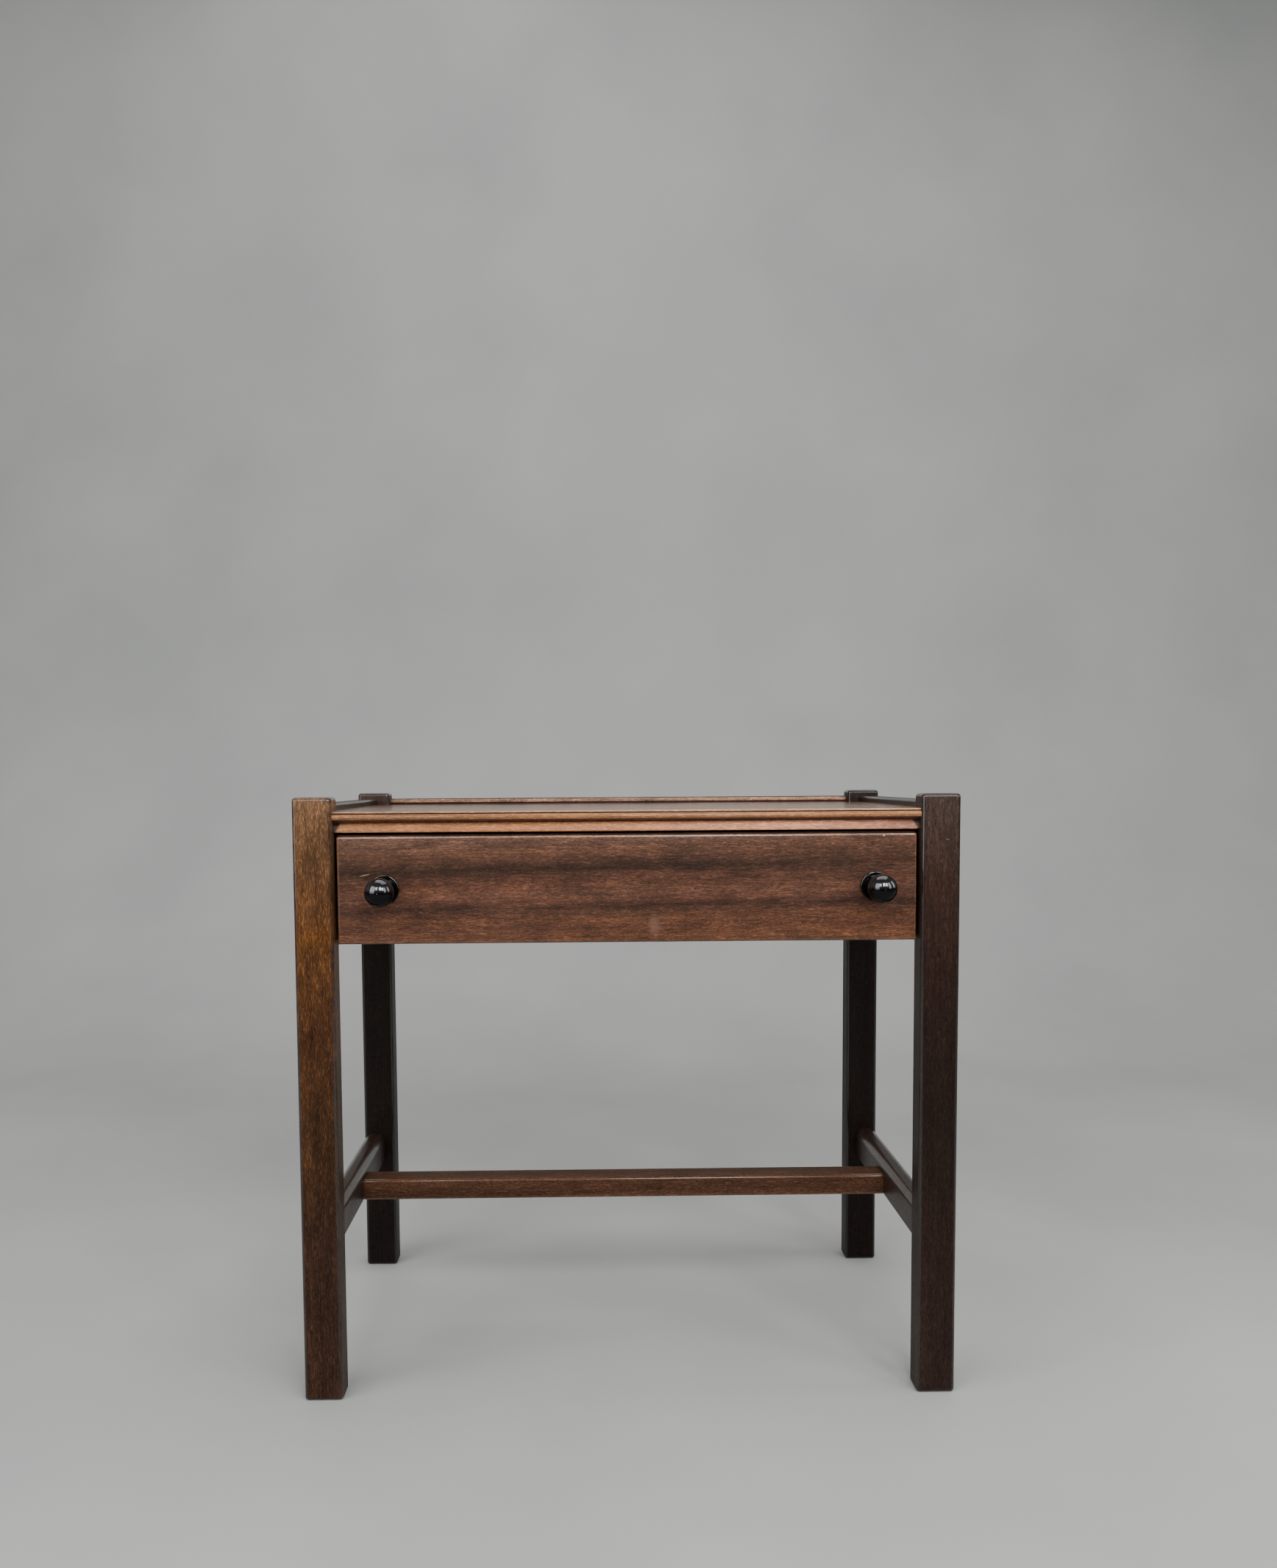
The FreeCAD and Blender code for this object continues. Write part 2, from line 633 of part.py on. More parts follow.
def knob(middle_x):
    """A turned knob: a flat round foot, a waist and a ball."""
    join_height = KNOB_BALL_CENTRE - (KNOB_BALL_RADIUS ** 2 - KNOB_NECK_RADIUS ** 2) ** 0.5

    def at(radius, height):
        return FreeCAD.Vector(middle_x + radius, DRAWER_FACE - height, KNOB_HEIGHT)

    foot_start = at(KNOB_BASE_RADIUS - KNOB_FOOT_BEVEL, 0)
    foot_side = at(KNOB_BASE_RADIUS, KNOB_FOOT_BEVEL)
    rim_start = at(KNOB_BASE_RADIUS, KNOB_BASE_HEIGHT - KNOB_RIM)
    inset = KNOB_RIM * (1 - 0.5 ** 0.5)
    rim_middle = at(KNOB_BASE_RADIUS - inset, KNOB_BASE_HEIGHT - inset)
    rim_end = at(KNOB_BASE_RADIUS - KNOB_RIM, KNOB_BASE_HEIGHT)
    shoulder = at(KNOB_SHOULDER_RADIUS, KNOB_BASE_HEIGHT)
    neck = at(KNOB_NECK_RADIUS, join_height)
    curves = [
        Part.Arc(rim_start, rim_middle, rim_end),
        Part.Arc(shoulder, at(KNOB_WAIST_RADIUS, (KNOB_BASE_HEIGHT + join_height) / 2), neck),
        Part.Arc(neck, at(KNOB_BALL_RADIUS, KNOB_BALL_CENTRE), at(0, KNOB_REACH)),
    ]
    straight = [
        (at(0, KNOB_REACH), at(0, 0)),
        (at(0, 0), foot_start),
        (foot_start, foot_side),
        (foot_side, rim_start),
        (rim_end, shoulder),
    ]
    lines = [Part.makeLine(*ends) for ends in straight]
    profile = Part.__sortEdges__(lines + [curve.toShape() for curve in curves])
    made = turned(Part.Wire(profile), at(0, 0), Y_AXIS)
    return made.cut(knob_screw(middle_x, HOLE_GAP))


def pieces():
    """Every node of the table by name."""
    made = {
        "table_top": table_top(),
        "front_nosing": front_nosing(),
        "front_top_rail": front_top_rail(),
        "back_apron": back_apron(),
        "cross_stretcher": cross_stretcher(),
        "drawer_front": drawer_front(),
        "drawer_back": drawer_back(),
        "drawer_bottom": drawer_bottom(),
    }
    pairs = {
        "leg_front": front_leg(),
        "leg_back": back_leg(),
        "side_apron": side_apron(),
        "side_stretcher": side_stretcher(),
        "drawer_runner": drawer_runner(),
        "drawer_guide": drawer_guide(),
        "kicker": kicker(),
        "drawer_stop": drawer_stop(),
        "drawer_side": drawer_side(),
    }
    for name, shape in pairs.items():
        made[name + "_left"] = shape
        made[name + "_right"] = mirrored(shape)
    for side, middle_x in KNOB_PLACES.items():
        made["knob_" + side] = knob(middle_x)
        made["knob_screw_" + side] = knob_screw(middle_x)
    for name, middle_x in BLOCK_PLACES.items():
        made["glue_block_" + name] = glue_block(middle_x)
    groups = {
        "guide_screws": guide_screw_shapes(),
        "runner_screws": runner_screw_shapes(),
        "kicker_screws": kicker_screw_shapes(),
    }
    for name, shapes in groups.items():
        made[name] = Part.makeCompound(shapes + [mirrored(shape) for shape in shapes])
    made["drawer_bottom_pins"] = Part.makeCompound(pin_shapes())
    return made


os.makedirs("parts", exist_ok=True)
for node, shape in pieces().items():
    shape.exportStep("parts/" + node + ".step")
    state = "valid" if shape.isValid() else "NOT VALID"
    print(node, state, len(shape.Solids), round(shape.Volume))
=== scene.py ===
import math

import bpy
from mathutils import Matrix, Vector


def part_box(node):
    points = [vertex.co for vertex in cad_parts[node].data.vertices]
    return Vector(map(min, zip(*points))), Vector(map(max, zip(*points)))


# Looks for the side table. Metres, in the CAD frame: +Z up, the drawer opens towards -Y.
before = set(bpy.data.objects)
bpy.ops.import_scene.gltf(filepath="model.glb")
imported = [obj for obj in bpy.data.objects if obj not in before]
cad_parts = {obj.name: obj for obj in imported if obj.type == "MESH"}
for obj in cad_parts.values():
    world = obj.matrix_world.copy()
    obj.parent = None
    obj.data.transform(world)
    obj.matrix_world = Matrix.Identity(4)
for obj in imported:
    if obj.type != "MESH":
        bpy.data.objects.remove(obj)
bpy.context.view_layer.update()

SIDES = ("left", "right")
CENTIMETRES_PER_METRE = 100.0


# ---------------------------------------------------------------- shader helpers

class Shader:
    """A node tree with short ways to add and link nodes."""

    def __init__(self, tree):
        self.tree = tree

    def add(self, kind, inputs=None, **settings):
        node = self.tree.nodes.new(kind)
        for name, value in settings.items():
            setattr(node, name, value)
        for socket, value in (inputs or {}).items():
            self.put(node.inputs[socket], value)
        return node

    def put(self, socket, value):
        if isinstance(value, bpy.types.NodeSocket):
            self.tree.links.new(value, socket)
        else:
            socket.default_value = value

    def math(self, operation, a, b=0.0, c=0.0, clamp=False):
        node = self.add("ShaderNodeMath", {0: a, 1: b, 2: c}, operation=operation, use_clamp=clamp)
        return node.outputs[0]

    def vector(self, operation, a, b):
        return self.add("ShaderNodeVectorMath", {0: a, 1: b}, operation=operation).outputs[0]

    def noise(self, place, detail=2.0, roughness=0.5):
        node = self.add(
            "ShaderNodeTexNoise",
            {"Vector": place, "Scale": 1.0, "Detail": detail, "Roughness": roughness},
        )
        return node.outputs["Fac"]

    def spots(self, per_metre, detail=2.0, roughness=0.5):
        """A noise with about so many spots per metre, given once or for X, Y and Z."""
        scale = per_metre if isinstance(per_metre, tuple) else (per_metre,) * 3
        return self.noise(self.vector("MULTIPLY", self.place(), scale), detail, roughness)

    def clouds(self, across, up, seed, detail):
        """A noise over X and Z alone, with about so many clouds per metre each way."""
        axes = self.axes()
        place = self.join(
            self.math("MULTIPLY", axes["X"], across), seed, self.math("MULTIPLY", axes["Z"], up)
        )
        return self.noise(place, detail)

    def ramp(self, value, stops):
        """A colour ramp. Each stop is a place and a colour, or a grey value."""
        node = self.add("ShaderNodeValToRGB", {0: value})
        elements = node.color_ramp.elements
        while len(elements) < len(stops):
            elements.new(0.5)
        for element, stop in zip(elements, stops):
            element.position = stop[0]
        for element, stop in zip(elements, stops):
            colour = stop[1]
            element.color = colour if isinstance(colour, tuple) else (colour,) * 3 + (1.0,)
        return node.outputs["Color"]

    def ramp_over(self, distance, stops):
        """A ramp over a distance in metres. The places of its stops are in centimetres."""
        return self.ramp(self.math("MULTIPLY", distance, CENTIMETRES_PER_METRE), stops)

    def mix(self, share, a, b):
        node = self.add("ShaderNodeMix", data_type="RGBA")
        self.put(node.inputs[0], share)
        self.put(node.inputs[6], a)
        self.put(node.inputs[7], b)
        return node.outputs[2]

    def axes(self):
        """The object coordinates, in metres, as three numbers."""
        place = self.add("ShaderNodeTexCoord").outputs["Object"]
        return self.add("ShaderNodeSeparateXYZ", {0: place}).outputs

    def place(self):
        """The object coordinates, in metres, as one vector."""
        return self.join(*self.axes()[:3])

    def join(self, x, y, z):
        return self.add("ShaderNodeCombineXYZ", {0: x, 1: y, 2: z}).outputs[0]


def srgb(red, green, blue):
    """A shader colour from display values of 0 to 255."""
    def linear(value):
        value /= 255.0
        return value / 12.92 if value <= 0.04045 else ((value + 0.055) / 1.055) ** 2.4
    return (linear(red), linear(green), linear(blue), 1.0)


def new_material(name):
    material = bpy.data.materials.new(name)
    material.use_nodes = True
    material.node_tree.nodes.clear()
    return material, Shader(material.node_tree)


def finish_material(s, surface):
    s.add("ShaderNodeOutputMaterial", {"Surface": surface.outputs[0]})


# ---------------------------------------------------------------- wood

GRAIN_ORDER = {"X": "XYZ", "Y": "YXZ", "Z": "ZXY"}
# How far one unit of a board's seed moves its grain along each axis, in metres.
SEED_STEPS = (1.37, 0.71, 0.43)
# How far the grain's factor goes below and above its middle of a half at full contrast.
DARK_REACH = 0.32
LIGHT_REACH = 0.46
# The light grain's share of red, green and blue.
WARMTH = (1.0, 0.86, 0.7)
# The weights of the streaks and the speckles in the grain.
STREAKS = 0.6
SPECKLES = 0.5
# How fast a rounded edge reaches its full arris tint and coat as its normal leaves the three axes.
ARRIS_GAIN = 16.0
# The width over which the tones of the nosing and the rail change.
FACE_SPAN = 0.5
# How far the painted shadow of the legs at the rail's ends moves inwards as it rises.
LEG_SHADOW_SLANT = 0.5
# How far behind the drawer front's foremost face a mark is still painted.
SKIN_DEPTH = 0.003


class Grain:
    """Noise fields stretched along a board's grain."""

    def __init__(self, s, along, seed):
        self.s = s
        axes = s.axes()
        ordered = s.join(*(axes[letter] for letter in GRAIN_ORDER[along]))
        self.place = s.vector("ADD", ordered, tuple(seed * step for step in SEED_STEPS))

    def stretched(self, length, width):
        """The place measured in lengths along the grain and widths across it."""
        return self.s.vector("MULTIPLY", self.place, (1 / length, 1 / width, 1 / width))

    def field(self, length, width, detail=2.0, roughness=0.5):
        return self.s.noise(self.stretched(length, width), detail, roughness)

    def bend(self, amount, length, width):
        """Moves the grain sideways by a soft noise, so that its lines wander."""
        s = self.s
        node = s.add(
            "ShaderNodeTexNoise",
            {"Vector": self.stretched(length, width), "Scale": 1.0, "Detail": 1.0},
        )
        centred = s.vector("SUBTRACT", node.outputs["Color"], (0.5, 0.5, 0.5))
        self.place = s.vector(
            "ADD", self.place, s.vector("MULTIPLY", centred, (0.0, amount, amount))
        )


def tone(red, green, blue):
    """A wood's mean colour from display values, doubled as the grain's mean factor is a half."""
    return tuple(2 * value for value in srgb(red, green, blue)[:3]) + (1.0,)


def tones_along(letter, low, high, stops, wander=0.0, seed=0.0):
    """A mean colour that changes along one axis from low to high, with wandering borders."""
    def build(s):
        where = s.axes()[letter]
        if wander:
            cloud = s.clouds(across=42.0, up=26.0, seed=seed, detail=3.0)
            where = s.math("ADD", where, s.math("MULTIPLY_ADD", cloud, 2 * wander, -wander))
        share = s.math("DIVIDE", s.math("SUBTRACT", where, low), high - low)
        return s.ramp(share, [(at, tone(*colour)) for at, colour in stops])
    return build


def mark(s, place, half_size, tilt=0.0):
    """A soft oval spot on a front face: one at its middle, zero outside. Sizes are along X and Z."""
    axes = s.axes()
    across = s.math("SUBTRACT", axes["X"], place[0])
    up = s.math("SUBTRACT", axes["Z"], place[1])
    up = s.math("MULTIPLY_ADD", across, -tilt, up)
    across = s.math("MULTIPLY", across, 1 / half_size[0])
    up = s.math("MULTIPLY", up, 1 / half_size[1])
    away = s.math("MULTIPLY_ADD", across, across, s.math("MULTIPLY", up, up))
    spot = s.math("SUBTRACT", 1.0, away, clamp=True)
    return s.math("MULTIPLY", spot, s.math("LESS_THAN", axes["Y"], front_skin))


def rounded_edges(s):
    """One on rounded edges, zero on faces that look along an axis."""
    normal = s.add("ShaderNodeTexCoord").outputs["Normal"]
    size = s.vector("ABSOLUTE", normal, (0.0, 0.0, 0.0))
    parts = s.add("ShaderNodeSeparateXYZ", {0: size}).outputs
    flat = s.math("MAXIMUM", s.math("MAXIMUM", parts[0], parts[1]), parts[2])
    return s.math("MULTIPLY", s.math("SUBTRACT", 1.0, flat), ARRIS_GAIN, clamp=True)


def wood(
    name,
    along,
    mean,
    seed,
    contrast=1.0,
    flecks=0.5,
    pores=0.6,
    stripes=0.5,
    stripe_width=0.011,
    mottle=0.3,
    roughness=0.4,
    gloss=0.2,
    coat=0.1,
    shine=0.7,
    edge_wear_and_shade=0.4,
    arris=(2.6, 2.3, 2.0),
    marks=(),
):
    """Stained wood: stripes, streaks, flecks and pores along the grain, and shinier arrises.

    The arrises are tinted in patches, where the colour is multiplied by arris: above one they are
    paler than the faces, as worn edges; below one darker: painted shade for the dark reflection in
    them.
    """
    material, s = new_material(name)
    grain = Grain(s, along, seed)
    grain.bend(amount=0.009, length=0.22, width=0.05)
    stripe_field = grain.field(length=0.75, width=stripe_width, roughness=0.55)
    mottle_field = grain.field(length=0.03, width=0.012)
    grain.bend(amount=0.0018, length=0.010, width=0.005)
    streak_field = grain.field(length=0.03, width=0.0019, roughness=0.6)
    fleck_field = grain.field(length=0.006, width=0.0009, detail=1.0)
    speckle_field = grain.field(length=0.0022, width=0.0009, detail=1.0)
    pore_field = grain.field(length=0.003, width=0.00042, detail=0.0)

    blend = s.math("MULTIPLY_ADD", stripe_field, stripes, 0.5 - stripes / 2)
    weighted = ((mottle_field, mottle), (streak_field, STREAKS), (speckle_field, SPECKLES))
    for field, amount in weighted:
        blend = s.math("ADD", blend, s.math("MULTIPLY_ADD", field, amount, -amount / 2))
    low = [0.5 - DARK_REACH * contrast] * 3
    high = [0.5 + LIGHT_REACH * contrast * value for value in WARMTH]
    factor = s.ramp(blend, [(0.2, (*low, 1.0)), (0.5, 0.5), (0.8, (*high, 1.0))])
    mean_colour = mean(s) if callable(mean) else mean[:3]
    colour = s.vector("MULTIPLY", factor, mean_colour)
    hollow = s.ramp(pore_field, [(0.3, pores), (0.43, 0.0)])
    fleck = s.ramp(fleck_field, [(0.5, 1 - 0.2 * flecks), (0.66, 1 + 0.8 * flecks)])
    shade = s.math("MULTIPLY", s.math("MULTIPLY_ADD", hollow, -0.75, 1.0), fleck)
    colour = s.vector("MULTIPLY", colour, s.join(shade, shade, shade))

    edges = rounded_edges(s)
    patch = s.spots(per_metre=90.0, detail=3.0)
    # Paler arrises are wear; darker ones, as on the legs, are painted shade for the dark reflection
    # in their roundings.
    rubbed_and_shaded = s.math("MULTIPLY", edges, s.ramp(patch, [(0.35, 0.3 * edge_wear_and_shade), (0.65, edge_wear_and_shade)]))
    colour = s.mix(rubbed_and_shaded, colour, s.vector("MULTIPLY", colour, arris))
    for place, half_size, tilt, pale, strength in marks:
        spot = s.math("MULTIPLY", mark(s, place, half_size, tilt), strength)
        colour = s.mix(spot, colour, srgb(*pale))

    smudge = s.spots(per_metre=14.0, detail=3.0)
    rough = s.math("MULTIPLY_ADD", smudge, 0.16, roughness - 0.08)
    rough = s.math("MULTIPLY_ADD", hollow, 0.2, rough)
    relief = s.math("MULTIPLY_ADD", hollow, -1.0, s.math("MULTIPLY", streak_field, 0.25))
    bump = s.add("ShaderNodeBump", {"Strength": 0.35, "Distance": 0.00012, "Height": relief})
    surface = s.add(
        "ShaderNodeBsdfPrincipled",
        {
            "Base Color": colour,
            "Roughness": rough,
            "Normal": bump.outputs[0],
            "Specular IOR Level": gloss,
            "Coat Weight": s.math("MULTIPLY_ADD", edges, shine, coat),
            "Coat Roughness": 0.15,
        },
    )
    finish_material(s, surface)
    return material


def face_tones(low, high, stops, slope):
    """The drawer front's mean colour: slanting bands, a painted highlight in a worn tone on the
    arrises, and painted shade at the top edge.
    """
    def build(s):
        axes = s.axes()
        wander = s.clouds(across=7.0, up=30.0, seed=3.3, detail=3.0)
        height = s.math("ADD", axes["Z"], s.math("MULTIPLY_ADD", wander, 0.008, -0.004))
        height = s.math("ADD", height, s.math("MULTIPLY", axes["X"], -slope))
        share = s.math("DIVIDE", s.math("SUBTRACT", height, low), high - low)
        banded = s.ramp(share, [(at, tone(*colour)) for at, colour in stops])
        patch = s.clouds(across=9.0, up=14.0, seed=8.1, detail=2.0)
        patched = s.mix(s.ramp(patch, [(0.5, 0.0), (0.75, 0.4)]), banded, FACE_PATCH)
        # Painted shade along the drawer front's top edge, under the rail.
        drop = s.math("SUBTRACT", front_high.z, axes["Z"])
        dark = s.ramp_over(drop, [(0.14, 1.0), (0.19, 0.0)])
        # A pale line below the top edge and along the ends: a painted highlight of the rounded
        # arrises, in a worn tone.
        line = s.ramp_over(drop, [(0.16, 0.0), (0.2, 1.0), (0.27, 1.0), (0.33, 0.0)])
        ends = s.math("SUBTRACT", front_high.x, s.math("ABSOLUTE", axes["X"]))
        end_line = s.ramp_over(ends, [(0.03, 0.0), (0.07, 0.5), (0.13, 0.5), (0.2, 0.0)])
        lined = s.mix(s.math("MAXIMUM", line, end_line), patched, WORN_HIGHLIGHT_LINE)
        return s.mix(dark, lined, TOP_EDGE_SHADE)
    return build


def nosing_tones_and_shade(s):
    """The nosing's mean colour by height, with the bead's shading painted in, darker towards the
    left end.
    """
    by_height = tones_along("Z", nosing_low.z, top_height, NOSING_STOPS)(s)
    across = s.math("MULTIPLY_ADD", s.axes()["X"], 1 / FACE_SPAN, 0.5)
    return s.vector("MULTIPLY", by_height, s.ramp(across, [(0.05, 0.72), (0.4, 1.0)]))


def rail_tones(s):
    """The top rail's mean colour, with a dark slanting patch at both ends: the legs' shadow, painted
    in.
    """
    axes = s.axes()
    inwards = s.math("SUBTRACT", bay_end, s.math("ABSOLUTE", axes["X"]))
    height = s.math("SUBTRACT", axes["Z"], rail_low.z)
    reach = s.math("MULTIPLY_ADD", height, -LEG_SHADOW_SLANT, inwards)
    # Painted shadow of the legs on the rail's recessed ends, wider where the face lies deeper.
    leg_shadow = s.ramp_over(reach, [(0.1, 1.0), (0.3, 0.0)])
    across = s.math("MULTIPLY_ADD", axes["X"], 1 / FACE_SPAN, 0.5)
    clean = s.ramp(across, [(at, tone(*colour)) for at, colour in RAIL_STOPS])
    return s.mix(leg_shadow, clean, RAIL_LEG_SHADOW)


# ---------------------------------------------------------------- other materials

def black_lacquer():
    """Black paint with a glossy coat that is whole on top and gone underneath."""
    material, s = new_material("black_lacquer")
    smudge = s.spots(per_metre=120.0, detail=3.0)
    fine = s.spots(per_metre=(900.0, 2600.0, 900.0))
    colour = s.ramp(smudge, [(0.3, srgb(3, 3, 4)), (0.75, srgb(8, 6, 7))])
    rough = s.math("MULTIPLY_ADD", smudge, 0.1, 0.08)
    bump = s.add("ShaderNodeBump", {"Strength": 0.12, "Distance": 0.0001, "Height": fine})
    normal = s.add("ShaderNodeTexCoord").outputs["Normal"]
    upwards = s.add("ShaderNodeSeparateXYZ", {0: normal}).outputs["Z"]
    gloss = s.ramp(s.math("MULTIPLY_ADD", upwards, 0.5, 0.5), [(0.5, 0.0), (0.6, 1.0)])
    surface = s.add(
        "ShaderNodeBsdfPrincipled",
        {"Base Color": colour, "Roughness": rough, "Normal": bump.outputs[0],
         "Specular IOR Level": 0.15, "Coat Weight": gloss, "Coat Roughness": 0.12,
         "Coat IOR": 1.8},
    )
    finish_material(s, surface)
    return material


def old_steel():
    """Dull grey metal with a few brown spots and fine scratches."""
    material, s = new_material("steel")
    spots = s.spots(per_metre=700.0, detail=4.0, roughness=0.6)
    scratches = s.spots(per_metre=(400.0, 5200.0, 400.0))
    colour = s.ramp(
        spots, [(0.3, srgb(120, 92, 66)), (0.48, srgb(150, 146, 140)), (0.7, srgb(178, 176, 172))]
    )
    rough = s.math("MULTIPLY_ADD", scratches, 0.3, 0.22)
    bump = s.add("ShaderNodeBump", {"Strength": 0.2, "Distance": 0.0001, "Height": scratches})
    surface = s.add(
        "ShaderNodeBsdfPrincipled",
        {"Base Color": colour, "Metallic": 0.9, "Roughness": rough, "Normal": bump.outputs[0]},
    )
    finish_material(s, surface)
    return material


def pale_floor():
    material, s = new_material("studio_floor")
    cloud = s.spots(per_metre=2.5, detail=4.0)
    colour = s.ramp(cloud, [(0.3, srgb(176, 178, 175)), (0.7, srgb(190, 191, 187))])
    surface = s.add(
        "ShaderNodeBsdfPrincipled", {"Base Color": colour, "Roughness": 0.75}
    )
    finish_material(s, surface)
    return material


# ---------------------------------------------------------------- finishes of the pieces

BOX = tone(164, 124, 82)
INNER = tone(140, 98, 62)
BARE = dict(roughness=0.55, gloss=0.3, coat=0.0, shine=0.0, flecks=0.8, pores=0.4)
# The legs' arrises are darkened (arris below one): painted shade for the dark reflection in their
# rounded edges.
LEG = dict(roughness=0.45, gloss=0.07, coat=0.05, shine=1.0, edge_wear_and_shade=1.0,
           arris=(0.3, 0.27, 0.27))
MOULDING = dict(contrast=0.6, pores=0.35, stripes=0.3, gloss=0.12, coat=0.04, edge_wear_and_shade=0.1)

front_low, front_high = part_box("drawer_front")
front_skin = front_low.y + SKIN_DEPTH
rail_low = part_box("front_top_rail")[0]
nosing_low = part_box("front_nosing")[0]
bay_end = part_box("leg_front_right")[0].x
leg_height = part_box("leg_front_left")[1].z
top_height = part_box("table_top")[1].z

# Mean colours as display values, each with its place: from the bottom to the top for the drawer
# front, the legs, the nosing and the back lip, and from left to right for the rail.
FACE_STOPS = [
    (0.0, (90, 57, 38)), (0.09, (88, 56, 39)), (0.16, (81, 51, 37)), (0.23, (92, 59, 41)),
    (0.28, (80, 52, 39)), (0.335, (58, 38, 28)), (0.39, (78, 50, 38)), (0.47, (84, 56, 43)),
    (0.55, (82, 52, 38)), (0.61, (76, 49, 37)), (0.69, (44, 29, 20)), (0.77, (71, 47, 36)),
    (0.85, (89, 60, 45)), (0.93, (91, 64, 51)), (1.0, (97, 70, 56)),
]
# The front legs are lighter at the top and darker lower down: painted light and shade for the light
# that falls off down the legs.
FRONT_LEFT_STOPS = [
    (0.0, (54, 36, 26)), (0.25, (53, 34, 24)), (0.37, (58, 37, 22)), (0.5, (60, 38, 21)),
    (0.62, (67, 41, 23)), (0.74, (80, 51, 27)), (0.77, (92, 57, 27)), (0.8, (85, 55, 32)),
    (0.86, (81, 54, 33)), (0.92, (91, 64, 43)), (0.97, (106, 77, 54)), (1.0, (114, 84, 60)),
]
FRONT_RIGHT_STOPS = [
    (0.0, (43, 31, 26)), (0.25, (40, 27, 22)), (0.45, (32, 22, 17)), (0.62, (36, 24, 18)),
    (0.74, (42, 28, 23)), (0.86, (52, 36, 29)), (0.97, (63, 49, 44)),
]
# The back legs: dark up to the table top, painted shade under the table; lighter on their tops above
# it, painted light.
BACK_LEFT_STOPS = [
    (0.0, (26, 19, 16)), (0.955, (26, 19, 16)), (0.975, (64, 50, 44)), (1.0, (70, 54, 48)),
]
BACK_RIGHT_STOPS = [
    (0.0, (28, 20, 17)), (0.955, (26, 19, 16)), (0.975, (42, 34, 31)), (1.0, (48, 39, 36)),
]
# The nosing by height: dark on the bead's underside and lighter on its upper half, painted shading
# of the round bead; a dark line along the quirk.
NOSING_STOPS = [
    (0.0, (58, 38, 26)), (0.09, (66, 42, 28)), (0.17, (124, 80, 50)), (0.4, (150, 102, 66)),
    (0.6, (156, 108, 72)), (0.7, (146, 100, 66)),
    (0.74, (84, 54, 34)), (0.81, (84, 54, 34)), (0.86, (172, 130, 98)), (1.0, (180, 138, 106)),
]
RAIL_STOPS = [
    (0.05, (144, 98, 64)), (0.35, (168, 112, 76)), (0.8, (192, 134, 104)), (0.97, (150, 102, 82)),
]
BACK_LIP_HEIGHT = 0.006
# The back lip by height: dark at and below its foot, painted shade where it meets the table top;
# pale on its face; darker along its top.
BACK_LIP_STOPS = [
    (0.0, (52, 36, 30)), (0.3, (44, 32, 32)), (0.4, (172, 132, 106)),
    (0.8, (176, 136, 108)), (0.92, (66, 46, 38)), (1.0, (56, 40, 34)),
]
FACE_PATCH = tone(88, 59, 45)
# The pale line on the drawer front's arrises: a painted highlight, in a worn tone.
WORN_HIGHLIGHT_LINE = tone(142, 106, 84)
# The drawer front's darkened top edge: painted shade under the rail.
TOP_EDGE_SHADE = tone(44, 30, 25)
# The rail's dark ends: painted shadow of the legs.
RAIL_LEG_SHADOW = tone(50, 38, 34)

# Each mark: its place and half its size along X and Z, its tilt, its display colour and strength.
SCRATCH = ((-0.217, 0.4437), (0.0055, 0.0006), 0.2, (170, 140, 116), 0.65)
# The nick's pale spot on the drawer front's top arris: a nick in the wood, with the dent's glint
# painted in.
NICK_GLINT = ((0.2125, 0.4735), (0.0010, 0.0010), 0.0, (186, 166, 150), 0.9)
SMUDGE = ((0.022, 0.4005), (0.006, 0.011), 0.0, (130, 100, 86), 0.3)
LEG_SCRATCH = ((0.2637, 0.4702), (0.0020, 0.0004), 0.0, (134, 124, 122), 0.5)

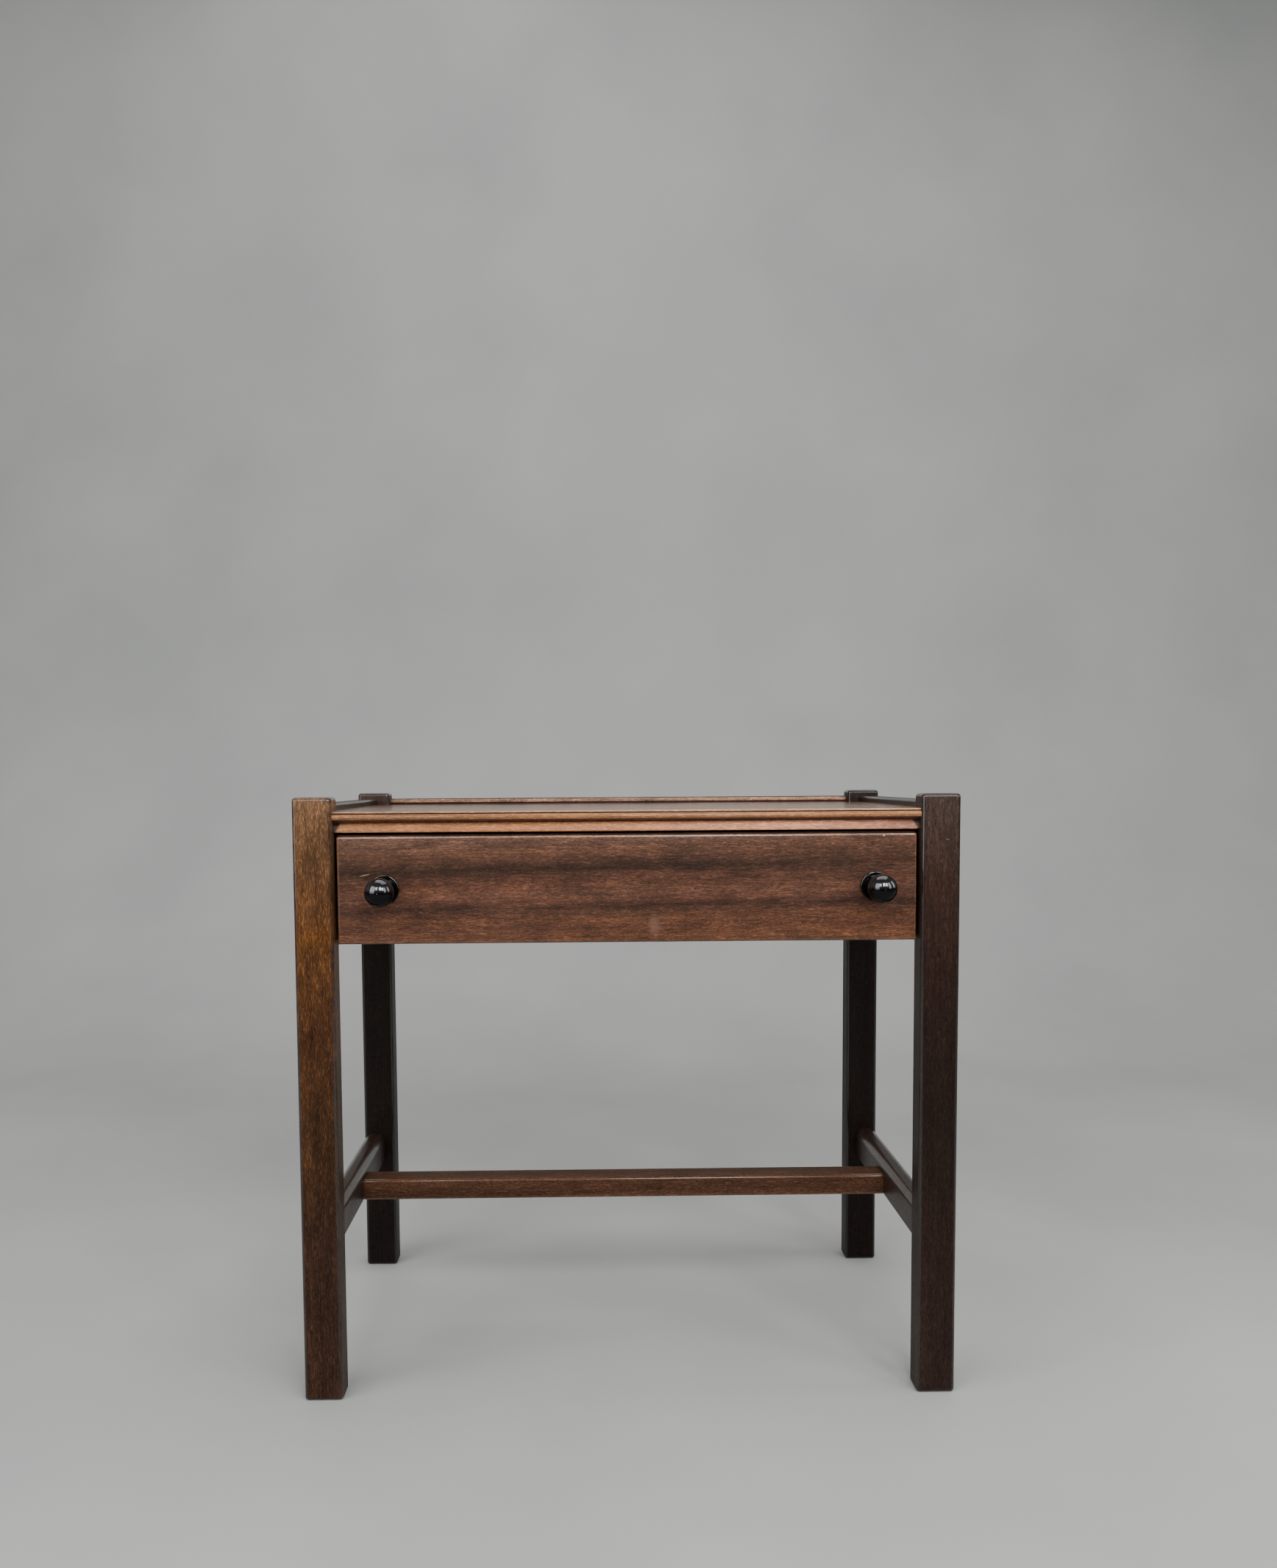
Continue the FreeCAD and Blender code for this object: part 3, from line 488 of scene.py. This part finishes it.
LEG_TONES_AND_SHADE = {
    "front_left": tones_along("Z", 0.0, leg_height, FRONT_LEFT_STOPS, wander=0.012, seed=2.7),
    "front_right": tones_along("Z", 0.0, leg_height, FRONT_RIGHT_STOPS, wander=0.012, seed=5.1),
    "back_left": tones_along("Z", 0.0, leg_height, BACK_LEFT_STOPS),
    "back_right": tones_along("Z", 0.0, leg_height, BACK_RIGHT_STOPS),
}
BACK_LIP_TONES_AND_SHADE = tones_along("Z", top_height, top_height + BACK_LIP_HEIGHT, BACK_LIP_STOPS)
finishes = {
    "leg_front_left": wood("wood_leg_front_left", "Z", LEG_TONES_AND_SHADE["front_left"], 3.1, contrast=0.8,
                           mottle=0.7, flecks=0.8, **LEG),
    "leg_front_right": wood("wood_leg_front_right", "Z", LEG_TONES_AND_SHADE["front_right"], 4.3,
                            contrast=0.7, marks=[LEG_SCRATCH], **LEG),
    "leg_back_left": wood("wood_leg_back_left", "Z", LEG_TONES_AND_SHADE["back_left"], 5.9, contrast=0.6,
                          **LEG),
    "leg_back_right": wood("wood_leg_back_right", "Z", LEG_TONES_AND_SHADE["back_right"], 6.7, contrast=0.6,
                           **LEG),
    "table_top": wood("wood_table_top", "X", tone(110, 70, 50), 11.3, edge_wear_and_shade=0.0, shine=0.0,
                      roughness=0.12, gloss=0.5, coat=0.0),
    "front_nosing": wood("wood_front_nosing", "X", nosing_tones_and_shade, 12.7, shine=0.5, **MOULDING),
    "front_top_rail": wood("wood_front_top_rail", "X", rail_tones, 13.9, shine=0.2, **MOULDING),
    "back_apron": wood("wood_back_apron", "X", BACK_LIP_TONES_AND_SHADE, 15.1, gloss=0.12, edge_wear_and_shade=0.0,
                       shine=0.0),
    "cross_stretcher": wood("wood_cross_stretcher", "X", tone(74, 50, 36), 16.3, contrast=0.8,
                            gloss=0.08, coat=0.0, roughness=0.5),
    "drawer_front": wood("wood_drawer_front", "X",
                         face_tones(front_low.z, front_high.z, FACE_STOPS, slope=0.02), 21.7,
                         stripes=0.3, mottle=0.5, flecks=0.6, edge_wear_and_shade=0.1,
                         marks=[SCRATCH, NICK_GLINT, SMUDGE]),
}
for number, side in enumerate(SIDES):
    finishes["side_apron_" + side] = wood(
        "wood_side_apron_" + side, "Y", tone(46, 31, 25), 31.1 + number, contrast=0.7, gloss=0.15)
    finishes["side_stretcher_" + side] = wood(
        "wood_side_stretcher_" + side, "Y", tone(44, 31, 25), 33.3 + number, contrast=0.7)
    finishes["drawer_side_" + side] = wood(
        "wood_drawer_side_" + side, "Y", BOX, 35.7 + number, contrast=0.5, **BARE)

finishes["drawer_back"] = wood("wood_drawer_back", "X", BOX, 41.1, contrast=0.5, **BARE)
finishes["drawer_bottom"] = wood("wood_plywood", "X", BOX, 43.1, contrast=0.4,
                                 stripe_width=0.03, **BARE)
strip_wood = wood("wood_strips", "Y", INNER, 45.1, contrast=0.5, **BARE)
block_wood = wood("wood_blocks", "X", INNER, 47.1, contrast=0.5, **BARE)
lacquer = black_lacquer()
steel = old_steel()
STRIPS = ("drawer_runner", "drawer_guide", "kicker_left", "kicker_right", "drawer_stop")
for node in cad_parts:
    if node.startswith(STRIPS):
        finishes[node] = strip_wood
    if node.startswith("glue_block"):
        finishes[node] = block_wood
    if node in ("knob_left", "knob_right"):
        finishes[node] = lacquer
    if "screw" in node or node == "drawer_bottom_pins":
        finishes[node] = steel

for node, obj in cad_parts.items():
    obj.data.materials.clear()
    obj.data.materials.append(finishes[node])


# ---------------------------------------------------------------- studio

def sweep_backdrop():
    """One sheet: a floor that curves up into a backdrop behind the table."""
    back, radius, height, front, half_width = 1.9, 0.9, 2.6, -4.5, 5.0
    profile = [(front, 0.0), (back - radius, 0.0)]
    steps = 24
    for step in range(1, steps + 1):
        turn = math.pi / 2 * step / steps
        profile.append((back - radius + radius * math.sin(turn), radius - radius * math.cos(turn)))
    profile.append((back, height))
    columns = 12
    points = []
    for y, z in profile:
        for column in range(columns + 1):
            points.append((half_width * (2 * column / columns - 1), y, z))
    faces = []
    for row in range(len(profile) - 1):
        for column in range(columns):
            first = row * (columns + 1) + column
            faces.append((first, first + 1, first + columns + 2, first + columns + 1))
    mesh = bpy.data.meshes.new("studio_sheet")
    mesh.from_pydata(points, [], faces)
    mesh.shade_smooth()
    sheet = bpy.data.objects.new("studio_sheet", mesh)
    bpy.context.scene.collection.objects.link(sheet)
    mesh.materials.append(pale_floor())


def soft_light(name, place, target, size, power):
    data = bpy.data.lights.new(name, "AREA")
    data.shape = "RECTANGLE"
    data.size, data.size_y = size
    data.energy = power
    lamp = bpy.data.objects.new(name, data)
    lamp.location = place
    aim = Vector(target) - Vector(place)
    lamp.rotation_euler = aim.to_track_quat("-Z", "Y").to_euler()
    bpy.context.scene.collection.objects.link(lamp)


def dome():
    """Even light from all round: brighter above, dim at the horizon."""
    world = bpy.data.worlds.new("studio_world")
    world.use_nodes = True
    world.node_tree.nodes.clear()
    s = Shader(world.node_tree)
    way = s.add("ShaderNodeTexCoord").outputs["Generated"]
    up = s.add("ShaderNodeSeparateXYZ", {0: way}).outputs["Z"]
    glow = s.ramp(up, [(0.0, (0.14, 0.145, 0.15, 1.0)), (0.3, (0.4, 0.41, 0.43, 1.0)),
                       (0.7, (0.25, 0.255, 0.27, 1.0))])
    background = s.add("ShaderNodeBackground", {"Color": glow, "Strength": 0.8})
    s.add("ShaderNodeOutputWorld", {"Surface": background.outputs[0]})
    bpy.context.scene.world = world


# The camera's turns in radians, its lens and sensor in millimetres, and its shift in frames.
CAMERA_PLACE = (-0.0309, -1.2031, 0.5220)
CAMERA_YAW = 0.01492
CAMERA_PITCH = 0.06861
CAMERA_ROLL = -0.00665
CAMERA_SENSOR = 36.0
CAMERA_LENS = 29.564
CAMERA_SHIFT = (0.01852, 0.05291)
CAMERA_NEAR = 0.05
CAMERA_FAR = 50.0


def photo_camera():
    """The camera that sees the table as it was first seen, from in front and a little above."""
    level = math.cos(CAMERA_PITCH)
    ahead = Vector((
        math.sin(CAMERA_YAW) * level, math.cos(CAMERA_YAW) * level, -math.sin(CAMERA_PITCH)
    ))
    right = Vector((math.cos(CAMERA_YAW), -math.sin(CAMERA_YAW), 0.0))
    up = right.cross(ahead)
    turned_right = math.cos(CAMERA_ROLL) * right + math.sin(CAMERA_ROLL) * up
    turned_up = -math.sin(CAMERA_ROLL) * right + math.cos(CAMERA_ROLL) * up
    turn = Matrix((turned_right, turned_up, -ahead)).transposed()
    data = bpy.data.cameras.new("camera")
    data.sensor_width = CAMERA_SENSOR
    data.lens = CAMERA_LENS
    data.shift_x, data.shift_y = CAMERA_SHIFT
    data.clip_start = CAMERA_NEAR
    data.clip_end = CAMERA_FAR
    camera = bpy.data.objects.new("camera", data)
    camera.matrix_world = Matrix.Translation(CAMERA_PLACE) @ turn.to_4x4()
    bpy.context.scene.collection.objects.link(camera)
    bpy.context.scene.camera = camera


# Each lamp: its place, the point it faces, its width and height, and its power in watts.
TABLE_MIDDLE = (0.0, -0.1, 0.42)
LAMPS = {
    "broad_left": ((-1.8, -1.6, 1.25), TABLE_MIDDLE, (1.6, 2.2), 38.0),
    "window_left": ((-0.50, -1.38, 1.3), TABLE_MIDDLE, (0.4, 0.6), 5.0),
    "window_middle": ((0.22, -1.38, 1.3), TABLE_MIDDLE, (0.36, 0.6), 10.0),
    "window_right": ((0.74, -1.36, 1.3), TABLE_MIDDLE, (0.34, 0.6), 8.0),
    "broad_right": ((1.71, -1.44, 1.3), TABLE_MIDDLE, (0.6, 1.6), 11.0),
    "strip_right": ((2.3, -0.2, 1.3), TABLE_MIDDLE, (0.5, 1.4), 7.0),
    "top": ((0.2, 0.6, 2.8), (0.0, 0.0, 0.3), (2.4, 2.0), 24.0),
}

sweep_backdrop()
dome()
for name, settings in LAMPS.items():
    soft_light(name, *settings)
photo_camera()
